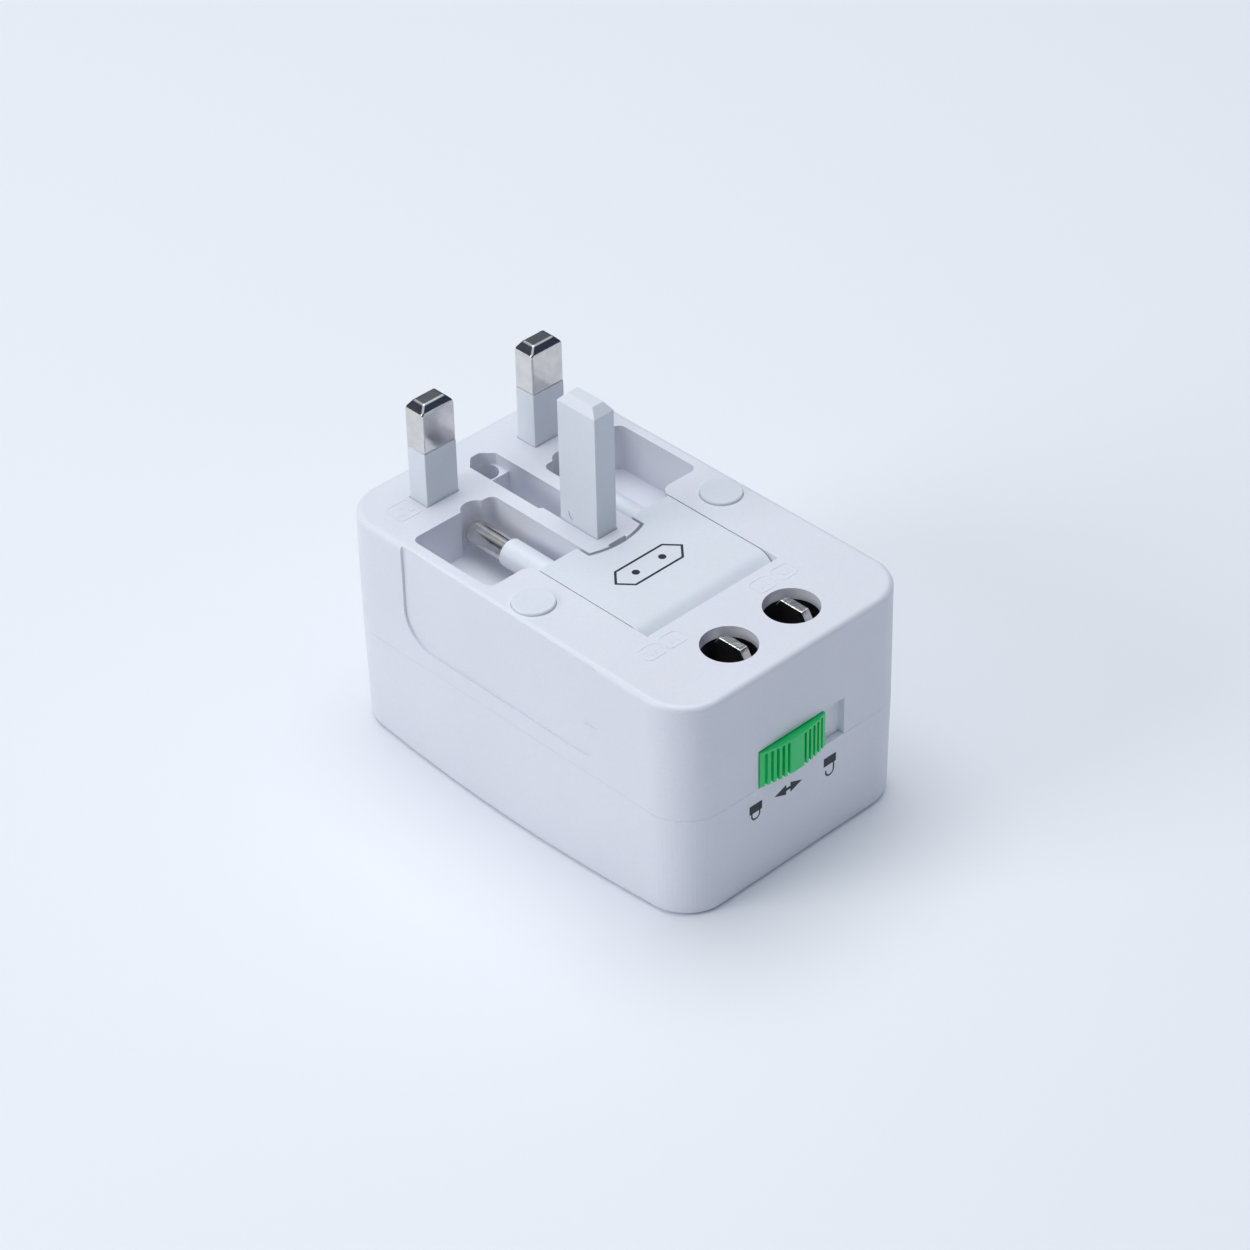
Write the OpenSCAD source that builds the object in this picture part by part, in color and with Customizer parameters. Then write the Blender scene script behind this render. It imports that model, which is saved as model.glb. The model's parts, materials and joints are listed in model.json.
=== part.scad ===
// Two-module universal travel adapter, standing on its socket face.
// X is the long axis (+X is the lock end), Y the width, Z up.
// Origin: centre of the socket face, where the adapter stands.

/* [Body] */
// Length of the body along X
body_l = 74.8; // [72:0.2:78]
// Width of the body along Y at the top face
body_w = 47.7; // [46:0.1:50]
// Height of the body without pins
body_h = 39; // [38:0.5:41]
// Height of the parting line between the two modules
part_z = 18.4; // [17:0.2:19]
// Corner radius of the body in plan
corner_r = 7.5; // [6:0.5:8.5]
// Wall thickness of both modules
wall = 2; // [1.8:0.1:2.2]
// Radius round the top rim
rim_r = 1; // [0.6:0.1:1.2]
// How far the long sides bulge at the socket face
side_bow = 1.4; // [0:0.1:1.6]

/* [British pins] */
// Distance between the line of the two upper pins and the earth pin
uk_pitch = 22.23; // [22.2:0.01:22.3]
// Distance of the two live pins along X from the body's centre
uk_x = 29.2; // [28.8:0.1:29.4]
// Width of a live pin along Y
uk_w = 6.35; // [6.2:0.05:6.4]
// Thickness of a live pin along X
uk_t = 4; // [3.9:0.05:4]
// Height of a live pin above the face
uk_h = 17.7; // [17.2:0.1:18.2]
// Height of the insulating sleeve above the face
uk_sleeve_h = 9.5; // [9:0.1:9.5]
// Height of the earth pin above the face
earth_h = 22.7; // [22.2:0.1:23]
// Width of the earth pin along X
earth_w = 8; // [7.8:0.05:8]
// Thickness of the earth pin along Y
earth_t = 4; // [3.9:0.05:4]

/* [European pins] */
// Distance between the two round pins
eu_pitch = 19; // [18.8:0.1:19.2]
// Radius of the metal of a round pin
eu_pin_r = 2; // [1.95:0.05:2]
// Radius of the sleeve of a round pin
eu_sleeve_r = 2.3; // [2.2:0.05:2.4]
// Length of a round pin beyond the flap's arm
eu_pin_l = 19.6; // [19:0.1:19.8]
// Length of the metal that shows on a round pin
eu_metal_l = 9; // [8.5:0.1:9.5]
// Thickness of the flap that carries the round pins
flap_t = 7.4; // [7:0.1:7.6]
// Half the width of the flap
flap_hw = 13.3; // [13.1:0.1:13.4]

/* [American blades] */
// Distance between the two flat blades
us_pitch = 12.7; // [12.6:0.1:12.8]
// Width of a flat blade
blade_w = 6.35; // [6.2:0.05:6.4]
// Thickness of a flat blade
blade_t = 1.5; // [1.4:0.05:1.55]
// Radius of the two round holes over the blades
hole_r = 4.35; // [4.3:0.05:4.5]

/* [Lock] */
// Length of the lock slider along Y
slider_l = 13.6; // [13.2:0.2:14]
// Travel of the lock slider
lock_travel = 4.2; // [3.8:0.1:4.4]

/* [Hidden] */
$fn = 64;

eps = 0.01;
far = 100;

// Inside faces of the walls
in_x = body_l / 2 - wall;
in_y = body_w / 2 - wall;
top_t = 2;
// Walls and floors of the wells inside the upper housing
web_t = 1.6;
floor_web_t = 1.2;
// Half the gap at the parting line
part_gap = 0.02;
// Underside of the top plate
plate_z = body_h - top_t;

// Pockets for the folded round pins
pocket_floor = body_h - 8.2;
floor_t = 1.5;
pocket_x0 = -22.7;
pocket_x1 = -5.5;
pocket_y0 = 5.2;
pocket_y1 = 21.5;
pocket_r = 1.3;
tip_bay_x = -21.6;
tip_bay_r = 2.4;

// Flap and its recess
flap_z = body_h - flap_t;
flap_x0 = -3.6;
flap_x1 = 19.2;
flap_gap = 0.2;
flap_r = flap_t / 2;
flap_axis_x = flap_x1 - flap_r;
flap_axis_z = body_h - flap_r;
tongue_end = -0.3;
tongue_r = 1;
tongue_arc = 14;
tongue_gap = 0.5;
// Gap at the tongue's end, wider low down, where the flap swings through
tongue_end_gap = 0.25;
tongue_low_gap = 0.55;
tongue_step_z = body_h - 3.5;
tongue_notch = 0.55;
tongue_notch_y0 = -1.9;
tongue_notch_y1 = 1.6;
shoulder_r = 1.9;
flap_axle_r = 1;
flap_axle_l = 2 * flap_hw + 2 * web_t;
leaf_x0 = 13.6;
leaf_x1 = 17;
stem_x0 = 15.2;
stem_t = 0.4;

// Round pins
eu_y = eu_pitch / 2;
eu_z = body_h - 4.2;
eu_core_r = 1.5;
eu_tip_x = flap_x0 - eu_pin_l;
eu_step_x = eu_tip_x + eu_metal_l;
eu_root_x = 3.4;
cavity_x0 = 2;
cavity_x1 = 11.8;
cavity_hw = 11.4;
cavity_z1 = body_h - 1.6;
cover_t = 1.2;
strip_t = 0.8;
strip_hw = 1.2;
strip_z = eu_z - 1.6;
lug_t = 1;
lug_top = eu_z + 1.4;

// Earth pin, folded about an axle at its lower +X edge
earth_x = uk_pitch - uk_x;
earth_x1 = earth_x + earth_w / 2;
earth_root_r = 0.9;
earth_axis_x = earth_x1 - earth_root_r;
earth_axis_z = body_h - earth_root_r;
earth_axle_r = 0.45;
earth_axle_l = earth_t + 4.4;
slot_floor = body_h - 8.6;
slot_hw = 2.7;
slot_narrow_hw = earth_t / 2 + 0.12;
slot_jog_x = -15.1;
slot_jog_l = 0.4;
slot_end_x = -32.3;
slot_bevel = 1.8;
ledge_x = -27.7;
ledge_z = body_h - 2.1;
ledge_hole_x = -30.15;
ledge_hole_r = 2.2;

// Live pins of the British plug
uk_y = 11.115;
uk_core_t = 2.6;
uk_core_w = 5;
// Cuts at the tips: along the width, along the thickness and down
uk_tip = [1.1, 0.8, 1.2];
earth_tip = [0.9, 1.3, 1.4];
uk_root_z = plate_z - 3;
uk_core_z = 26;
sleeve_gap = 0.1;

// Blades and their holes
hole_x = 29.05;
hole_y = 6.45;
hole_step = 0.4;
blade_x = 28.75;
blade_mid_y = 1;
blade_top = body_h - 0.3;
blade_root_z = 14.6;
blade_tip_w = 1;
blade_tip_h = 1.5;

// Thumb recess in each long side
grip_x = -22.7;
grip_z = 21.5;
grip_l = 42;
grip_r = 6;
grip_end_r = 3;
grip_depth = 0.45;
grip_slope = 0.35;

// Screws
cap_x = 1.75;
cap_y = 19.4;
cap_r = 3.35;
cap_proud = 0.5;
shank_r = 1.15;
head_r = 2.1;
head_h = 1.6;
head_gap = 0.15;
recess_l = 2.6;
recess_w = 0.5;
recess_depth = 0.8;
hole_gap = 0.05;
base_post_r = 2.3;
cap_seat = 0.6;
cap_bevel = 0.2;
base_z = 22.9;
base_t = 1.8;
base_open = 4.8;
base_open_y = 13.2;
cap_screw_z = 32.2;
ledge_screw_z = 31.6;

// Brass in the upper module
bus_z = 25.2;
bus_t = uk_core_z - bus_z;
bus_y0 = 10.2;
bus_y1 = 13.5;
bus_x1 = 31.35;
link_t = 0.5;
link_hw = 0.5;
link_way_hw = 0.8;
link_way_y0 = 5;
link_way_y1 = 14;
carrier_z = 26;
carrier_x0 = 22;
carrier_x1 = 34.9;
carrier_hy = 13.6;
ring_r = 3.4;
ring_t = 0.6;
ring_z = 27.5;
ring_h = 4;

// Lock
window_y0 = -8.9;
window_y1 = window_y0 + slider_l + lock_travel + 0.2;
window_z1 = 25.2;
window_floor = 36.3;
slider_z0 = part_z + 0.25;
slider_z1 = window_z1 - 0.25;
slider_y0 = window_y0 + 0.1;
crown_r = 24;
crown_top = 38.65;
rib_n = 5;
rib_pitch = 1.02;
pad_hw = 1.72;
groove_hw = 0.26;
groove_x = 38.05;
groove_step = 0.11;
groove_end = 0.35;
leg_y0 = -4.5;
leg_y1 = 0.7;
leg_z0 = 20.6;
leg_z1 = 22.8;
leg_gap = 0.15;
foot_x0 = 34.3;
foot_x1 = in_x - 0.1;
foot_out_y = 1.2;
foot_out_z = 1;

// Lower module
plateau_z = part_z + 4;
plateau_gap = 0.5;
plateau_x1 = 33.95;
dip = 0.5;
cover_gap = 0.02;
cover_wall = 2;
cover_z = part_z - 2;
skin_t = 2.4;
rotor_r = 4.6;
rotor_hub_r = 3.7;
rotor_z = 19.3;
rotor_gap = 0.08;
lower_posts = [[-28.5, 15], [-28.5, -15], [14, 15.5], [14, -15.5]];
post_r = 3;
post_top = plateau_z - 2;

// Universal socket
socket_x = -9;
socket_top = 13.4;
leaf_t = 0.5;
leaf_x = 2.7;
leaf_z0 = 4;
leaf_y0 = 8.4;
leaf_y1 = 12.2;
rotor_link_y0 = 3.6;
rotor_link_x0 = 25.75;
ap_round_r = 2.9;
ap_pin = [4.7, 7.4];
ap_pin_y0 = 7.5;
ap_blade = [7.6, 2.4];
ap_slant = [7.6, 2.2];
ap_slant_y = 6.9;
ap_slant_turn = -30;
ap_earth = [9.4, 5];

white = [0.86, 0.88, 0.92];
cool_white = [0.82, 0.86, 0.91];
green = [0, 0.62, 0.27];
nickel = [0.72, 0.7, 0.68];
brass = [0.8, 0.65, 0.3];
black = [0.08, 0.08, 0.09];
steel = [0.6, 0.6, 0.62];

// ---- Shared shapes ----

module round_rect(l, w, r) {
    translate([-l / 2 + r, -w / 2]) square([l - 2 * r, w]);
    translate([-l / 2, -w / 2 + r]) square([l, w - 2 * r]);
    for (sx = [-1, 1], sy = [-1, 1])
        translate([sx * (l / 2 - r), sy * (w / 2 - r)]) circle(r);
}

module slab(x0, x1, y0, y1, z0, z1) {
    translate([x0, y0, z0]) cube([x1 - x0, y1 - y0, z1 - z0]);
}

// Half of an upright section whose top outer corner is rounded
module rim_section(hw, z0, z1, f) {
    translate([0, z0]) square([hw, z1 - f - z0]);
    translate([0, z0]) square([hw - f, z1 - z0]);
    translate([hw - f, z1 - f]) circle(f);
}

// Round-cornered block whose top edge is rounded all the way round
module rimmed_block(l, w, r, z0, z1, f) {
    for (m = [0, 1]) {
        mirror([0, m, 0]) translate([-l / 2 + r, 0, 0]) rotate([90, 0, 90])
            linear_extrude(l - 2 * r) rim_section(w / 2, z0, z1, f);
        mirror([m, 0, 0]) translate([0, w / 2 - r, 0]) rotate([90, 0, 0])
            linear_extrude(w - 2 * r) rim_section(l / 2, z0, z1, f);
    }
    for (sx = [-1, 1], sy = [-1, 1])
        translate([sx * (l / 2 - r), sy * (w / 2 - r), 0])
            rotate_extrude() rim_section(r, z0, z1, f);
}

module y_rod(x, y, z, r, l) {
    translate([x, y + l / 2, z]) rotate([90, 0, 0]) cylinder(r = r, h = l);
}

module x_rod(x0, x1, y, z, r) {
    translate([x0, y, z]) rotate([0, 90, 0]) cylinder(r = r, h = x1 - x0);
}

module both_sides() {
    children();
    mirror([0, 1, 0]) children();
}

function blade_y(side) = blade_mid_y + side * us_pitch / 2;

// ---- Upper module: housing ----

// Tongue between the pockets, with a curved and notched end
module tongue_plan() {
    difference() {
        intersection() {
            translate([tongue_end - 5, 0]) round_rect(10, 2 * pocket_y0, tongue_r);
            translate([tongue_end - tongue_arc, 0]) circle(tongue_arc, $fn = 128);
        }
        translate([tongue_end - tongue_notch, tongue_notch_y0])
            square([1, tongue_notch_y1 - tongue_notch_y0]);
    }
}

module pocket_plan() {
    both_sides() {
        translate([(pocket_x0 + pocket_x1) / 2, (pocket_y0 + pocket_y1) / 2])
            round_rect(pocket_x1 - pocket_x0, pocket_y1 - pocket_y0, pocket_r);
        translate([tip_bay_x, eu_y]) circle(tip_bay_r);
        // Rounded shoulder where the pocket runs into the flap's recess
        difference() {
            translate([pocket_x1 - 1, flap_hw + flap_gap - 1]) square(shoulder_r + 1);
            translate([pocket_x1 + shoulder_r, flap_hw + flap_gap + shoulder_r]) circle(shoulder_r);
        }
        translate([pocket_x1 - 2, pocket_y0])
            square([2 + tongue_end - pocket_x1, flap_hw + flap_gap - pocket_y0]);
    }
    difference() {
        translate([tongue_end - 1.5, -flap_hw - flap_gap])
            square([flap_x1 + flap_gap - tongue_end + 1.5, 2 * (flap_hw + flap_gap)]);
        tongue_plan();
    }
}

// Slot of the earth pin from x0 on, wide at the tip and narrow at the root
module slot_plan(x0, bevel) {
    slot_x1 = earth_x1 + 0.1;
    polygon([
        [x0, -slot_hw + bevel], [x0 + bevel, -slot_hw], [slot_jog_x, -slot_hw],
        [slot_jog_x + slot_jog_l, -slot_narrow_hw], [slot_x1, -slot_narrow_hw],
        [slot_x1, slot_narrow_hw], [slot_jog_x + slot_jog_l, slot_narrow_hw],
        [slot_jog_x, slot_hw], [x0 + bevel, slot_hw], [x0, slot_hw - bevel]
    ]);
}

// Shallow thumb recess, deepest at the pin end and dying out towards the lock end
module grip_cut() {
    translate([grip_x, -body_w / 2 + grip_depth, 0]) rotate([0, 0, -grip_slope]) rotate([90, 0, 0])
        linear_extrude(5) {
            translate([0, grip_z + grip_r]) square([grip_l, far]);
            translate([grip_r, grip_z]) square([grip_l - grip_r - grip_end_r, far]);
            translate([grip_r, grip_z + grip_r]) circle(grip_r);
            translate([grip_l - grip_end_r, grip_z + grip_end_r]) circle(grip_end_r);
        }
}

module upper_shell_solid() {
    difference() {
        rimmed_block(body_l, body_w, corner_r, part_z + part_gap, body_h, rim_r);
        translate([0, 0, part_z - 1]) linear_extrude(plate_z - part_z + 1)
            round_rect(2 * in_x, 2 * in_y, corner_r - wall);
    }
    // Tub under the pockets and the flap
    slab(tip_bay_x - tip_bay_r - web_t, pocket_x1, -in_y, in_y, pocket_floor - floor_t, plate_z + 1);
    slab(pocket_x1 - 1, flap_x1 + web_t, -flap_hw - web_t, flap_hw + web_t,
         pocket_floor - floor_t, plate_z + 1);
    // Walls of the earth pin's slot and of the screw well in its end
    slab(slot_end_x - web_t, pocket_x0, -slot_hw - web_t, slot_hw + web_t,
         slot_floor - floor_web_t, plate_z + 1);
    // Bosses round the roots of the live pins
    both_sides()
        slab(-uk_x - uk_t / 2 - web_t, pocket_x0 - 2, uk_y - uk_w / 2 - web_t, uk_y + uk_w / 2 + web_t,
             uk_root_z - floor_web_t, plate_z + 1);
    both_sides() translate([cap_x, cap_y, cap_screw_z - floor_web_t])
        cylinder(r = head_r + head_gap + web_t, h = plate_z + 1 - cap_screw_z);
}

module upper_shell() {
    color(white) difference() {
        upper_shell_solid();
        translate([0, 0, pocket_floor]) linear_extrude(far) pocket_plan();
        // Slot of the earth pin, its ledge and the screw well
        translate([0, 0, slot_floor]) linear_extrude(far) slot_plan(ledge_x, eps);
        translate([0, 0, ledge_z]) linear_extrude(far) slot_plan(slot_end_x, slot_bevel);
        translate([ledge_hole_x, 0, ledge_screw_z]) cylinder(r = ledge_hole_r, h = far);
        translate([ledge_hole_x, 0, part_z]) cylinder(r = shank_r + hole_gap, h = far);
        // Live pins
        both_sides() {
            slab(-uk_x - uk_t / 2 - sleeve_gap, -uk_x + uk_t / 2 + sleeve_gap,
                 uk_y - uk_w / 2 - sleeve_gap, uk_y + uk_w / 2 + sleeve_gap, uk_root_z, far);
            slab(-uk_x - uk_core_t / 2, -uk_x + uk_core_t / 2,
                 uk_y - uk_core_w / 2, uk_y + uk_core_w / 2, part_z, far);
        }
        // Screw posts and caps
        both_sides() translate([cap_x, cap_y, 0]) {
            translate([0, 0, part_z]) cylinder(r = shank_r + hole_gap, h = far);
            translate([0, 0, cap_screw_z]) cylinder(r = head_r + head_gap, h = far);
            translate([0, 0, plate_z - cap_seat]) cylinder(r = cap_r + hole_gap, h = far);
        }
        // Holes over the blades
        both_sides() translate([hole_x, hole_y, plate_z - 1]) cylinder(r = hole_r, h = far);
        // Axles
        y_rod(flap_axis_x, 0, flap_axis_z, flap_axle_r, flap_axle_l);
        y_rod(earth_axis_x, 0, earth_axis_z, earth_axle_r, earth_axle_l);
        // Ways for the flap's contacts
        both_sides()
            slab(leaf_x0 - flap_gap, leaf_x1 + flap_gap, eu_y - strip_hw - flap_gap,
                 eu_y + strip_hw + flap_gap, pocket_floor - floor_t - 1, pocket_floor + 1);
        // Lock window and the way for the slider's leg
        slab(window_floor, far, window_y0, window_y1, part_z - 1, window_z1);
        slab(in_x - 1, far, leg_y0 - leg_gap, leg_y1 + lock_travel + leg_gap,
             leg_z0 - leg_gap, leg_z1 + leg_gap);
        both_sides() grip_cut();
    }
}

module upper_base() {
    color(white) difference() {
        union() {
            translate([0, 0, base_z]) linear_extrude(base_t)
                round_rect(2 * in_x - 0.1, 2 * in_y - 0.1, corner_r - wall);
            both_sides() translate([cap_x, cap_y, base_z])
                cylinder(r = base_post_r, h = cap_screw_z - floor_web_t - base_z);
            translate([ledge_hole_x, 0, base_z])
                cylinder(r = base_post_r, h = slot_floor - floor_web_t - base_z);
        }
        both_sides() translate([cap_x, cap_y, base_z - 1]) cylinder(r = shank_r, h = far);
        translate([ledge_hole_x, 0, base_z - 1]) cylinder(r = shank_r, h = far);
        // One opening for both blades, run on to the lock
        slab(blade_x - base_open, far, -base_open_y, base_open_y, base_z - 1, base_z + base_t + 1);
    }
}

module screw_cap(side) {
    color(cool_white) translate([cap_x, side * cap_y, 0])
        rotate_extrude() polygon([
            [0, plate_z - cap_seat], [cap_r, plate_z - cap_seat],
            [cap_r, body_h + cap_proud - cap_bevel],
            [cap_r - cap_bevel, body_h + cap_proud], [0, body_h + cap_proud]
        ]);
}

module pan_screw(z, l) {
    difference() {
        union() {
            translate([0, 0, z]) cylinder(r = head_r, h = head_h);
            translate([0, 0, z - l]) cylinder(r = shank_r, h = l + eps);
        }
        for (a = [0, 90]) rotate([0, 0, a])
            translate([-recess_l / 2, -recess_w / 2, z + head_h - recess_depth])
                cube([recess_l, recess_w, 2]);
    }
}

module upper_screws() {
    color(steel) {
        both_sides() translate([cap_x, cap_y, 0]) pan_screw(cap_screw_z, 8.5);
        translate([ledge_hole_x, 0, 0]) pan_screw(ledge_screw_z, 8);
    }
}

// ---- British pins ----

// Rectangular pin with all four tip edges cut back
module bevel_tip(w, t, z0, z1, cut) {
    intersection() {
        rotate([90, 0, 0]) translate([0, 0, -w / 2]) linear_extrude(w) polygon([
            [-t / 2, z0], [t / 2, z0], [t / 2, z1 - cut[2]],
            [t / 2 - cut[1], z1], [-t / 2 + cut[1], z1], [-t / 2, z1 - cut[2]]
        ]);
        rotate([90, 0, 90]) translate([0, 0, -t / 2]) linear_extrude(t) polygon([
            [-w / 2, z0], [w / 2, z0], [w / 2, z1 - cut[2]],
            [w / 2 - cut[0], z1], [-w / 2 + cut[0], z1], [-w / 2, z1 - cut[2]]
        ]);
    }
}

module uk_pin(side) {
    color(nickel) translate([-uk_x, side * uk_y, 0]) {
        bevel_tip(uk_w, uk_t, body_h + uk_sleeve_h, body_h + uk_h, uk_tip);
        slab(-uk_core_t / 2, uk_core_t / 2, -uk_core_w / 2, uk_core_w / 2,
             uk_core_z, body_h + uk_sleeve_h + 1);
    }
}

module uk_sleeve(side) {
    color(white) translate([-uk_x, side * uk_y, 0]) difference() {
        slab(-uk_t / 2, uk_t / 2, -uk_w / 2, uk_w / 2, uk_root_z, body_h + uk_sleeve_h);
        slab(-uk_core_t / 2, uk_core_t / 2, -uk_core_w / 2, uk_core_w / 2, 0, far);
    }
}

module earth_pin() {
    bottom = earth_axis_z - earth_root_r;
    color(cool_white) difference() {
        union() {
            translate([earth_x, 0, 0])
                bevel_tip(earth_t, earth_w, earth_axis_z, body_h + earth_h, earth_tip);
            slab(earth_x - earth_w / 2, earth_axis_x, -earth_t / 2, earth_t / 2, bottom, earth_axis_z + 1);
            y_rod(earth_axis_x, 0, earth_axis_z, earth_root_r, earth_t);
        }
        y_rod(earth_axis_x, 0, earth_axis_z, earth_axle_r + hole_gap, earth_t + 1);
    }
}

module earth_axle() {
    color(steel) y_rod(earth_axis_x, 0, earth_axis_z, earth_axle_r, earth_axle_l);
}

// ---- Conductors of the upper module ----

module busbar(side) {
    near = side * blade_y(side) + ring_r;
    color(brass) mirror([0, side > 0 ? 0 : 1, 0]) {
        slab(-uk_x - uk_t / 2, bus_x1, bus_y0, bus_y1, bus_z, uk_core_z);
        slab(blade_x - link_hw, blade_x + link_hw, near, near + link_t, uk_core_z - eps, ring_z);
        slab(blade_x - link_hw, blade_x + link_hw, near, bus_y1, bus_z, uk_core_z);
    }
}

module blade_contact(side) {
    color(brass) translate([blade_x, blade_y(side), ring_z]) difference() {
        cylinder(r = ring_r + ring_t, h = ring_h);
        translate([0, 0, -1]) cylinder(r = ring_r, h = far);
        slab(-far, 0, -0.5, 0.5, -1, far);
    }
}

module contact_carrier() {
    color(black) difference() {
        slab(carrier_x0, carrier_x1, -carrier_hy, carrier_hy, carrier_z + 0.02, plate_z);
        for (s = [-1, 1]) {
            translate([blade_x, blade_y(s), ring_z]) cylinder(r = ring_r + ring_t, h = far);
            translate([blade_x, blade_y(s), 0]) cylinder(r = ring_r, h = far);
            translate([hole_x, s * hole_y, ring_z + ring_h]) cylinder(r = hole_r + hole_step, h = far);
            slab(blade_x - link_way_hw, blade_x + link_way_hw, s > 0 ? link_way_y0 : -link_way_y1,
                 s > 0 ? link_way_y1 : -link_way_y0, 0, ring_z);
        }
    }
}

module flap_axle() {
    color(steel) y_rod(flap_axis_x, 0, flap_axis_z, flap_axle_r, flap_axle_l);
}

module flap_contact(side) {
    color(brass) translate([0, side * eu_y, 0]) {
        slab(stem_x0, stem_x0 + stem_t, -strip_hw, strip_hw, uk_core_z, pocket_floor + 0.3);
        slab(leaf_x0, leaf_x1, -strip_hw, strip_hw, pocket_floor + 0.05, pocket_floor + 0.05 + stem_t);
    }
}

// ---- Flap with the round pins ----

module flap_profile() {
    slab(flap_x0, flap_axis_x, -flap_hw, flap_hw, flap_z, body_h);
    y_rod(flap_axis_x, 0, flap_axis_z, flap_r, 2 * flap_hw);
}

module tongue_notch_cut(z0, gap) {
    intersection() {
        slab(flap_x0 - 1, 1, -pocket_y0 - tongue_gap, pocket_y0 + tongue_gap, z0, far);
        translate([tongue_end - tongue_arc, 0, z0]) cylinder(r = tongue_arc + gap, h = far, $fn = 128);
    }
}

module eu_flap() {
    color(cool_white) difference() {
        flap_profile();
        // Notch that clears the tongue between the pockets
        tongue_notch_cut(0, tongue_low_gap);
        tongue_notch_cut(tongue_step_z, tongue_end_gap);
        // Cavity for the conductors, closed by the cover
        slab(cavity_x0, cavity_x1, -cavity_hw, cavity_hw, flap_z - 1, cavity_z1);
        both_sides() x_rod(flap_x0 - 1, cavity_x0 + 1, eu_y, eu_z, eu_core_r);
        y_rod(flap_axis_x, 0, flap_axis_z, flap_axle_r + hole_gap, 2 * flap_hw + 1);
    }
}

module eu_flap_cover() {
    color(cool_white) slab(cavity_x0, cavity_x1, -cavity_hw, cavity_hw, flap_z, flap_z + cover_t);
}

module eu_pin(side) {
    color(nickel) {
        x_rod(eu_tip_x + eu_pin_r, eu_step_x, side * eu_y, eu_z, eu_pin_r);
        translate([eu_tip_x + eu_pin_r, side * eu_y, eu_z]) sphere(r = eu_pin_r);
        x_rod(eu_step_x - eps, eu_root_x, side * eu_y, eu_z, eu_core_r);
    }
}

module eu_sleeve(side) {
    color(white) difference() {
        x_rod(eu_step_x, flap_x0, side * eu_y, eu_z, eu_sleeve_r);
        x_rod(eu_step_x - 1, flap_x0 + 1, side * eu_y, eu_z, eu_core_r);
    }
}

module eu_conductor(side) {
    color(brass) translate([0, side * eu_y, 0]) {
        slab(eu_root_x, eu_root_x + lug_t, -eu_core_r, eu_core_r, strip_z, lug_top);
        slab(eu_root_x + lug_t - eps, cavity_x1 - 0.3, -eu_core_r, eu_core_r,
             strip_z, strip_z + strip_t);
    }
}

// ---- Lock ----

module lock_slider() {
    mid_y = slider_y0 + slider_l / 2;
    crown_x = crown_top - crown_r;
    color(green) {
        difference() {
            intersection() {
                slab(window_floor + 0.1, far, slider_y0, slider_y0 + slider_l, slider_z0, slider_z1);
                translate([crown_x, mid_y, slider_z0]) cylinder(r = crown_r, h = far, $fn = 128);
            }
            // Grooves between the ribs each side of the plain pad
            for (s = [-1, 1], i = [0 : rib_n - 1])
                translate([0, mid_y + s * (pad_hw + i * rib_pitch), 0])
                    slab(groove_x - groove_step * i, far, -groove_hw, groove_hw,
                         slider_z0 - 1, slider_z1 - groove_end);
        }
        slab(foot_x0 + eps, window_floor + 0.1 + eps, leg_y0, leg_y1, leg_z0, leg_z1);
        slab(foot_x0, foot_x1, leg_y0 - foot_out_y, leg_y1 + foot_out_y,
             leg_z0 - foot_out_z, leg_z1 + foot_out_z);
    }
}

// ---- Lower module ----

// Outline whose long sides bulge by bow at mid-length
module bowed_plan(l, w, r, bow) {
    hull() {
        for (sx = [-1, 1], sy = [-1, 1])
            translate([sx * (l / 2 - r), sy * (w / 2 - r)]) circle(r);
        polygon([for (s = [-1, 1], i = [-9 : 9])
            [s * i * (l / 2 - r) / 9, s * (w / 2 + bow * (1 - i * i / 81))]]);
    }
}

module lower_outer() {
    // Each level: height, inset of the outline, share of the bow
    levels = [[0, 1.1], [0.12, 0.72], [0.4, 0.34], [0.9, 0.1], [1.6, 0]];
    hull() {
        for (v = levels)
            translate([0, 0, v[0]]) linear_extrude(eps)
                bowed_plan(body_l - 0.4 - 2 * v[1], body_w - 0.4 - 2 * v[1], corner_r - v[1], side_bow);
        translate([0, 0, part_z - part_gap - eps]) linear_extrude(eps)
            bowed_plan(body_l, body_w, corner_r, 0);
    }
}

// One aperture: round pin, rectangular pin and flat blade run together
module pole_aperture() {
    translate([0, eu_y]) circle(r = ap_round_r);
    translate([-ap_pin[0] / 2, ap_pin_y0]) square(ap_pin);
    translate([0, us_pitch / 2]) square(ap_blade, center = true);
    translate([0, ap_slant_y]) rotate(ap_slant_turn) square(ap_slant, center = true);
}

module lower_shell() {
    color(white) difference() {
        union() {
            difference() {
                lower_outer();
                translate([0, 0, skin_t]) linear_extrude(far)
                    round_rect(2 * in_x, 2 * in_y, corner_r - wall);
            }
            for (p = lower_posts) translate([p[0], p[1], 1]) cylinder(r = post_r, h = post_top - 1);
        }
        translate([socket_x, 0, -1]) linear_extrude(far) both_sides() pole_aperture();
        translate([socket_x + uk_pitch, 0, -1]) linear_extrude(skin_t + 2) square(ap_earth, center = true);
        for (p = lower_posts) translate([p[0], p[1], 7]) cylinder(r = shank_r, h = far);
    }
}

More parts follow.
